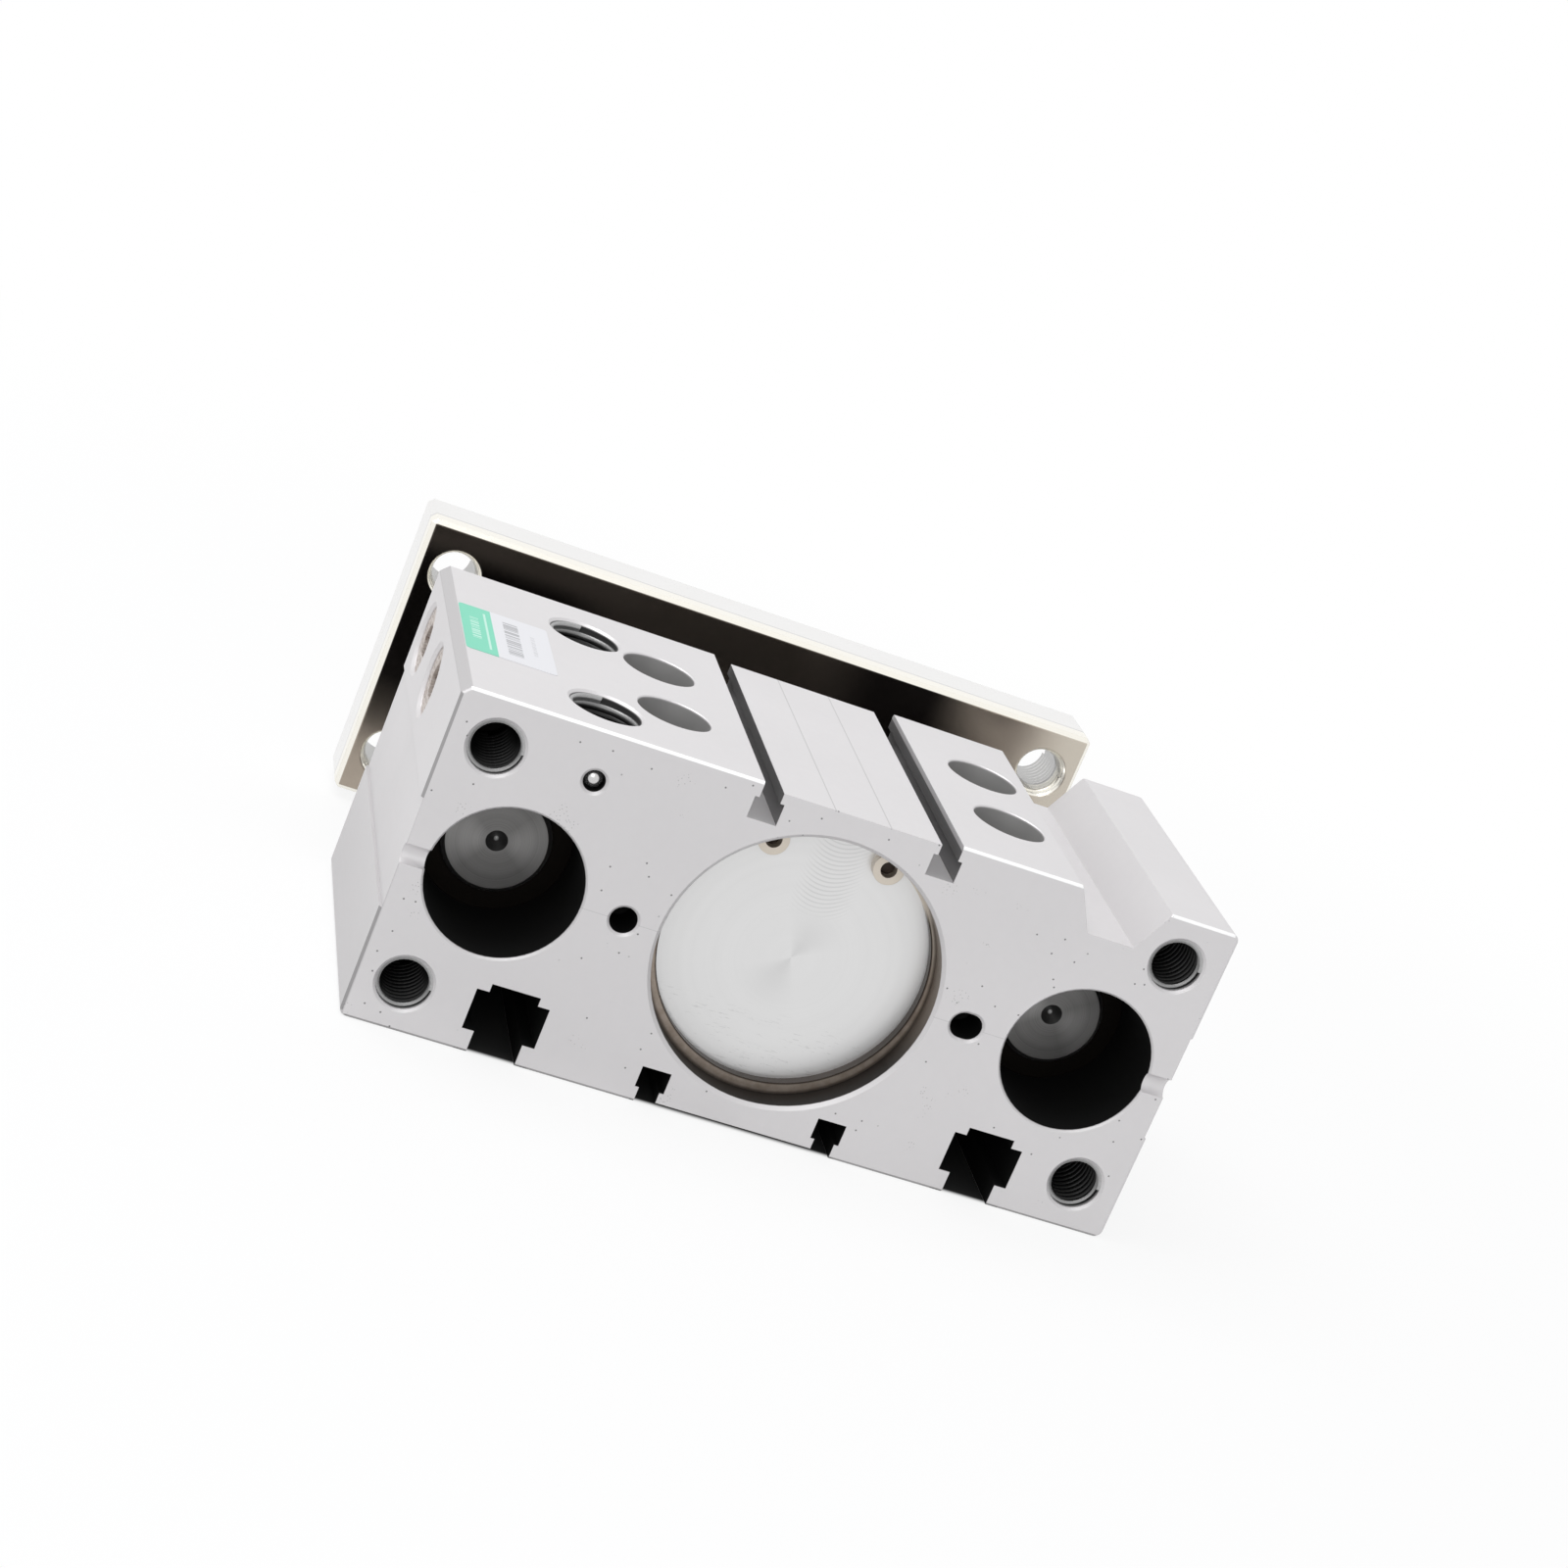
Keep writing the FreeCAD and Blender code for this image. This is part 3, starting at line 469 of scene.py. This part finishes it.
def bearing_ball():
    f = Finish("polished_ball", Metallic=1.0)
    fine = f.grain((0.5, 0.5, 0.5), 2.0)
    f.set(Base_Color=f.mixed(fine, grey(0.62), grey(0.72)))
    f.set(Roughness=0.10 + fine * 0.06)
    f.set(Normal=f.bump(fine * 0.002))
    return f.material


def cut_thread(name, depth):
    """Cut thread flanks, with painted shade taking them from bright near the hole's mouth to dark further in; depth
    gives the distance.
    """
    f = Finish(name, Metallic=0.75)
    fine = f.grain((0.3, 0.3, 0.3), 3.0)
    shade = f.mixed(fine, grey(0.30), grey(0.52))
    # painted shade darkening the flanks further into the hole
    f.set(Base_Color=f.mixed(depth(f).rise(0.8, 3.2), shade, grey(0.022)))
    f.set(Roughness=0.30 + fine * 0.14)
    f.set(Normal=f.bump(fine * 0.004))
    return f.material


def label_print(low, high, band):
    """Label with a green band along one edge and rows of plain grey dashes in its pale field."""
    f = Finish("printed_label", Metallic=0.0)
    edge = (low.x + band) / MM
    across = f.x - edge
    along = abs(f.y - (low.y + high.y) / 2 / MM)
    length = (high.y - low.y) / MM
    bars = f.line_grain(f.y, 0.7, 1.0)
    ticks = f.line_grain(f.y + f.x * 0.3, 0.35, 1.0)
    large_row = abs(across - 3.6).rise(1.5, 1.35) * bars.rise(0.47, 0.50) * along.rise(length * 0.36, length * 0.35)
    small_row = abs(across - 7.6).rise(0.45, 0.35) * ticks.rise(0.50, 0.54) * along.rise(length * 0.22, length * 0.21)
    stripe = abs(across + 1.3).rise(0.28, 0.16) * along.rise(length * 0.40, length * 0.39)
    block = abs(across + 3.5).rise(0.9, 0.75) * bars.rise(0.50, 0.53) * along.rise(length * 0.24, length * 0.23)
    paper = f.grain((0.4, 0.4, 0.4), 2.0)
    pale = f.mixed((large_row * 0.55).most(small_row * 0.3), (0.72, 0.72, 0.745, 1), (0.14, 0.14, 0.15, 1))
    green = f.mixed(stripe.most(block) * 0.55, (0.17, 0.62, 0.44, 1), (0.75, 0.90, 0.84, 1))
    f.set(Base_Color=f.mixed(across.rise(-0.06, 0.06), green, pale))
    f.set(Roughness=0.38 + paper * 0.1)
    f.set(Normal=f.bump(paper * 0.003, f.rounded(0.05)))
    return f.material


# ---------------------------------------------------------------- geometry nodes
class Tree:
    """A geometry node tree with named number inputs, built in one place."""

    def __init__(self, name, inputs):
        self.tree = bpy.data.node_groups.new(name, "GeometryNodeTree")
        face = self.tree.interface
        face.new_socket("Geometry", in_out="INPUT", socket_type="NodeSocketGeometry")
        for label, kind in inputs:
            face.new_socket(label, in_out="INPUT", socket_type=kind)
        face.new_socket("Geometry", in_out="OUTPUT", socket_type="NodeSocketGeometry")
        self.entry = self.tree.nodes.new("NodeGroupInput")
        self.exit = self.tree.nodes.new("NodeGroupOutput")

    def given(self, label):
        return self.entry.outputs[label]

    def node(self, kind, settings=None, inputs=None):
        node = self.tree.nodes.new(kind)
        for name, value in (settings or {}).items():
            setattr(node, name, value)
        for key, value in (inputs or {}).items():
            socket = next(s for s in node.inputs if key in (s.identifier, s.name))
            if isinstance(value, bpy.types.NodeSocket):
                self.tree.links.new(value, socket)
            else:
                socket.default_value = value
        return node

    def maths(self, operation, first, second):
        node = self.node("ShaderNodeMath", {"operation": operation}, {"Value": first, "Value_001": second})
        return node.outputs[0]


def thread_tree():
    """Inward thread ridges: a triangle swept up a helix, then set at each hole's mouth."""
    t = Tree("cut_thread_ridges", [("Wall Radius", "NodeSocketFloat"), ("Pitch", "NodeSocketFloat"),
                                   ("Ridge Height", "NodeSocketFloat"), ("Turns", "NodeSocketFloat"),
                                   ("Into Hole", "NodeSocketRotation"), ("Finish", "NodeSocketMaterial")])
    length = t.maths("MULTIPLY", t.given("Pitch"), t.given("Turns"))
    helix = t.node("GeometryNodeCurveSpiral", None,
                   {"Resolution": 36, "Rotations": t.given("Turns"), "Start Radius": t.given("Wall Radius"),
                    "End Radius": t.given("Wall Radius"), "Height": length})
    upright = t.node("GeometryNodeSetCurveNormal", {"mode": "Z_UP"}, {"Curve": helix.outputs[0]})
    crest = t.maths("MULTIPLY", t.given("Pitch"), 0.12)
    root = t.maths("MULTIPLY", t.given("Pitch"), 0.90)
    section = t.node("GeometryNodeCurvePrimitiveQuadrilateral", {"mode": "TRAPEZOID"},
                     {"Height": t.maths("MULTIPLY", t.given("Ridge Height"), 2.0), "Bottom Width": crest,
                      "Top Width": root, "Offset": 0.0})
    ridge = t.node("GeometryNodeCurveToMesh", None,
                   {"Curve": upright.outputs[0], "Profile Curve": section.outputs[0], "Fill Caps": True})
    placed = t.node("GeometryNodeInstanceOnPoints", None,
                    {"Points": t.given("Geometry"), "Instance": ridge.outputs[0], "Rotation": t.given("Into Hole")})
    real = t.node("GeometryNodeRealizeInstances", None, {"Geometry": placed.outputs[0]})
    done = t.node("GeometryNodeSetMaterial", None, {"Geometry": real.outputs[0], "Material": t.given("Finish")})
    t.tree.links.new(done.outputs[0], t.exit.inputs[0])
    return t.tree


def grown(name, points, tree, values):
    """Runs a tree on loose points and keeps its result as a plain mesh object."""
    seed = bpy.data.meshes.new(name + "_points")
    seed.from_pydata(points, [], [])
    holder = bpy.data.objects.new(name, seed)
    bpy.context.scene.collection.objects.link(holder)
    modifier = holder.modifiers.new("grow", "NODES")
    modifier.node_group = tree
    keys = {item.name: item.identifier for item in tree.interface.items_tree if item.in_out == "INPUT"}
    for label, value in values.items():
        modifier[keys[label]] = value
    bpy.context.view_layer.update()
    mesh = bpy.data.meshes.new_from_object(holder.evaluated_get(bpy.context.evaluated_depsgraph_get()))
    holder.modifiers.remove(modifier)
    holder.data = mesh
    return holder


# ---------------------------------------------------------------- pieces that the solids leave out
def pattern_points(mount, depth=0.0):
    """The four hole centres of a rectangular pattern, moved into the part by depth."""
    centre = Vector(mount["pos_m"])
    axis = Vector(mount["axis"])
    across = [i for i in range(3) if abs(axis[i]) < 0.5]
    points = []
    for first in (-0.5, 0.5):
        for second in (-0.5, 0.5):
            point = centre - axis * depth
            point[across[0]] += first * mount["dims"]["spacing_x_mm"] * MM
            point[across[1]] += second * mount["dims"]["spacing_y_mm"] * MM
            points.append(point)
    return points


def threads(name, body, points, out, radius, pitch, height, turns, tree, finish):
    into = Vector((0, 0, 1)).rotation_difference(-Vector(out)).to_euler()
    piece = grown(name, points, tree, {"Wall Radius": radius, "Pitch": pitch, "Ridge Height": height,
                                       "Turns": turns, "Into Hole": into, "Finish": finish})
    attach(piece, body)
    return piece


def all_threads(plate_finish):
    tree = thread_tree()
    coarse, coarse_height = 1.5 * MM, 0.81 * MM
    pipe, pipe_height = 1.337 * MM, 0.86 * MM
    sink = 1.25 * MM
    rear = cut_thread("rear_thread", lambda f: f.y)
    bottom = cut_thread("bottom_thread", lambda f: f.z + top_mm)
    port = cut_thread("port_thread", lambda f: top_mm - f.z)
    for name, body, turns, finish in (("rear_bolts", "cylinder_body", 12.8, rear),
                                      ("bottom_bolts", "cylinder_body", 10.0, bottom),
                                      ("plate_bolts", "carriage", 9.0, plate_finish)):
        mount = mounts[name]
        radius = mount["dims"]["hole_r_mm"] * MM
        threads(name + "_thread", body, pattern_points(mount, sink), mount["axis"], radius, coarse,
                coarse_height, turns, tree, finish)
    ports = [mounts["top_port_rear"], mounts["top_port_front"]]
    mouths = [Vector((p["pos_m"][0], p["pos_m"][1], body_high.z - sink)) for p in ports]
    threads("top_port_thread", "cylinder_body", mouths, ports[0]["axis"], ports[0]["dims"]["r_mm"] * MM,
            pipe, pipe_height, 6.8, tree, port)


def label():
    """Thin printed label on the top face beside the ports, with rounded corners."""
    low = Vector((body_low.x + 1.8 * MM, 21.6 * MM, body_high.z))
    high = Vector((low.x + 17.0 * MM, 47.0 * MM, body_high.z + 0.06 * MM))
    corner = 0.8 * MM
    form = bmesh.new()
    outline = []
    for turn, (cx, cy) in enumerate(((high.x, high.y), (low.x, high.y), (low.x, low.y), (high.x, low.y))):
        inward = (math.copysign(corner, (low.x + high.x) / 2 - cx), math.copysign(corner, (low.y + high.y) / 2 - cy))
        for step in range(5):
            angle = math.radians(90 * turn + 90 * step / 4)
            outline.append(form.verts.new((cx + inward[0] + corner * math.cos(angle),
                                           cy + inward[1] + corner * math.sin(angle), low.z)))
    sheet = form.faces.new(outline)
    raised = bmesh.ops.extrude_face_region(form, geom=[sheet])["geom"]
    bmesh.ops.translate(form, vec=(0, 0, high.z - low.z), verts=[g for g in raised if isinstance(g, bmesh.types.BMVert)])
    bmesh.ops.recalc_face_normals(form, faces=form.faces)
    mesh = bpy.data.meshes.new("label")
    form.to_mesh(mesh)
    form.free()
    piece = bpy.data.objects.new("label", mesh)
    bpy.context.scene.collection.objects.link(piece)
    mesh.materials.append(label_print(low, high, 6.0 * MM))
    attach(piece, "cylinder_body")


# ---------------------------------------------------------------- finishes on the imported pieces
def dress():
    finishes = {
        "anodised_aluminium": anodised_block(), "turned_aluminium": turned_cap(), "spring_steel": spring_steel(),
        "bright_steel": ground_rod(), "nickel_plated_steel": nickel_plate(), "port_plug_steel": sealed_plug(),
        "bearing_bronze": bearing_bronze(), "black_rubber": rubber(),
        "wear_ring_plastic": filled_plastic("wear_ring_plastic", (0.20, 0.11, 0.06, 1), (0.34, 0.20, 0.12, 1)),
        "magnet_plastic": filled_plastic("bonded_magnet", grey(0.03), grey(0.08)),
    }
    black_screw = blackened_screw()
    for part in frame["record"]["subparts"]:
        node = frame["nodes"][part["node"]]
        finish = black_screw if "screw" in part["node"] else finishes[part["material_slot"]]
        node.data.materials.clear()
        node.data.materials.append(finish)
    return finishes


# ---------------------------------------------------------------- studio
def seen_straight(tree):
    """1 for what the camera, mirrors and glass see, and 0 for what lights a surface."""
    path = tree.nodes.new("ShaderNodeLightPath")
    both = tree.nodes.new("ShaderNodeMath")
    both.operation = "MAXIMUM"
    tree.links.new(path.outputs["Is Camera Ray"], both.inputs[0])
    tree.links.new(path.outputs["Is Glossy Ray"], both.inputs[1])
    every = tree.nodes.new("ShaderNodeMath")
    every.operation = "MAXIMUM"
    tree.links.new(both.outputs[0], every.inputs[0])
    tree.links.new(path.outputs["Is Transmission Ray"], every.inputs[1])
    return every.outputs[0]


def studio():
    world = bpy.data.worlds.new("studio")
    bpy.context.scene.world = world
    world.use_nodes = True
    tree = world.node_tree
    tree.nodes.clear()
    out = tree.nodes.new("ShaderNodeOutputWorld")
    soft = tree.nodes.new("ShaderNodeBackground")
    soft.inputs["Color"].default_value = (0.97, 0.98, 1.0, 1)
    soft.inputs["Strength"].default_value = 0.6
    white = tree.nodes.new("ShaderNodeBackground")
    white.inputs["Color"].default_value = (1, 1, 1, 1)
    pick = tree.nodes.new("ShaderNodeMixShader")
    tree.links.new(seen_straight(tree), pick.inputs[0])
    tree.links.new(soft.outputs[0], pick.inputs[1])
    tree.links.new(white.outputs[0], pick.inputs[2])
    tree.links.new(pick.outputs[0], out.inputs[0])
    lamp("key_softbox", (-0.5, 0.1, 1.1), 1.0, 9.0)
    lamp("front_softbox", (-0.35, -1.3, 0.55), 0.9, 3.0)
    floor()


def lamp(name, place, size, power):
    data = bpy.data.lights.new(name, "AREA")
    data.size = size
    data.energy = power
    light = bpy.data.objects.new(name, data)
    bpy.context.scene.collection.objects.link(light)
    light.location = place
    light.rotation_mode = "QUATERNION"
    light.rotation_quaternion = (Vector((0, 0.05, 0)) - Vector(place)).to_track_quat("-Z", "Y")


def floor():
    """Pale floor that reads as white, keeps a soft shadow and has a near-black painted shadow where the body stands
    on it.
    """
    reach = 6.0
    mesh = bpy.data.meshes.new("floor")
    height = body_low.z
    mesh.from_pydata([(-reach, -reach, height), (reach, -reach, height), (reach, reach, height),
                      (-reach, reach, height)], [], [(0, 1, 2, 3)])
    plane = bpy.data.objects.new("floor", mesh)
    bpy.context.scene.collection.objects.link(plane)
    f = Finish("pale_floor", Roughness=0.9, Metallic=0.0)
    across = abs(f.x).rise(side_mm, side_mm - 2.0)
    # painted contact shadow under the body's footprint, also left without the white glow
    under = across * f.y.rise(0.0, 2.0) * f.y.rise(body_high.y / MM, body_high.y / MM - 2.0)
    f.set(Base_Color=f.mixed(under, grey(0.86), grey(0.01)))
    glow = f.node("ShaderNodeEmission", None, {"Color": (1, 1, 1, 1), "Strength": 1.0})
    far = f.reach(f.x, f.y - 50.0).rise(150.0, 420.0)
    shown = Signal(f, seen_straight(f.tree)) * (1 - under) * (0.84 + far * 0.16)
    both = f.node("ShaderNodeMixShader", None, {"Fac": shown})
    f.tree.links.new(f.shader.outputs[0], both.inputs[1])
    f.tree.links.new(glow.outputs[0], both.inputs[2])
    output = next(node for node in f.tree.nodes if node.type == "OUTPUT_MATERIAL")
    f.tree.links.new(both.outputs[0], output.inputs[0])
    mesh.materials.append(f.material)


def camera():
    """Looks at the rear face from the left and above, turned a little about its own line of sight."""
    eye = Vector((-0.1658, -0.52406, 0.19365))
    target = Vector((-0.00582, 0.035, 0.02199))
    roll = math.radians(22.685)
    data = bpy.data.cameras.new("camera")
    data.sensor_width = 36.0
    data.lens = 75.74
    data.clip_start = 0.01
    view = bpy.data.objects.new("camera", data)
    bpy.context.scene.collection.objects.link(view)
    view.location = eye
    view.rotation_mode = "QUATERNION"
    view.rotation_quaternion = (target - eye).to_track_quat("-Z", "Y") @ Quaternion((0, 0, 1), roll)
    bpy.context.scene.camera = view


# ---------------------------------------------------------------- assembly
finishes = dress()
all_threads(finishes["nickel_plated_steel"])
label()
studio()
camera()
bpy.context.scene.view_settings.view_transform = "Standard"
